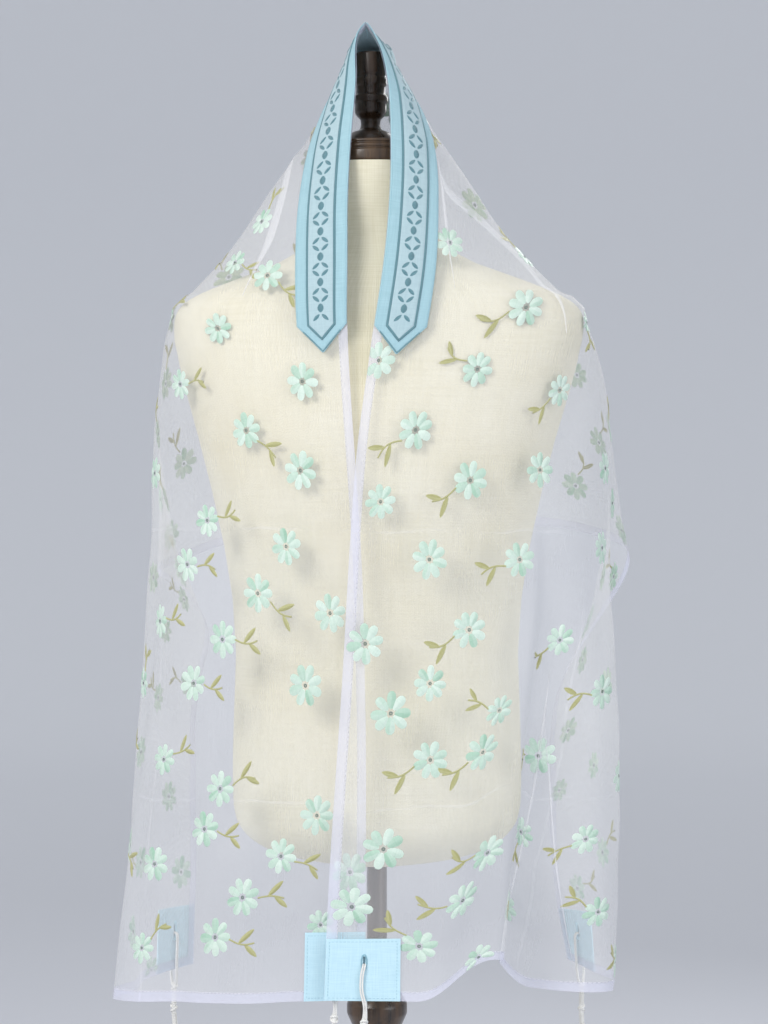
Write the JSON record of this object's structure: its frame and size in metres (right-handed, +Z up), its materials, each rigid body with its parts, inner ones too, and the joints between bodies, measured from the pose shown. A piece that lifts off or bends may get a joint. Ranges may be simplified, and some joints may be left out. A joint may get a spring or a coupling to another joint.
{
  "type": "tallit prayer shawl on a dress form",
  "caption": "Sheer rectangular prayer shawl with neckband, corner patches and knotted corner tassels, draped over the finial and shoulders of a limbless dress form on a stand",
  "frame": {"origin": "on the floor, in the middle of the base's underside, on the pole's axis", "axes": "+Z up, the shawl's front faces -Y, +X towards the right in a front view"},
  "size_m": [0.4812, 0.372, 1.563],
  "materials": {
    "white_organza": "sheer woven",
    "blue_cotton": "matte woven",
    "pale_blue_cotton": "matte woven",
    "patch_cotton": "matte woven",
    "white_cord": "twisted cotton",
    "cream_linen": "matte woven",
    "brown_walnut": "satin",
    "dark_walnut": "satin"
  },
  "bodies": {
    "root": {"shawl_cloth": "white_organza", "neckband": "blue_cotton", "neckband_centre": "pale_blue_cotton", "patch_left_front": "patch_cotton", "patch_left_rear": "patch_cotton", "patch_right_front": "patch_cotton", "patch_right_rear": "patch_cotton", "tassel_left_front": "white_cord", "tassel_left_rear": "white_cord", "tassel_right_front": "white_cord", "tassel_right_rear": "white_cord", "torso": "cream_linen", "neck_cap": "brown_walnut", "finial": "dark_walnut", "pole": "dark_walnut", "base": "dark_walnut"}
  },
  "joints": []
}
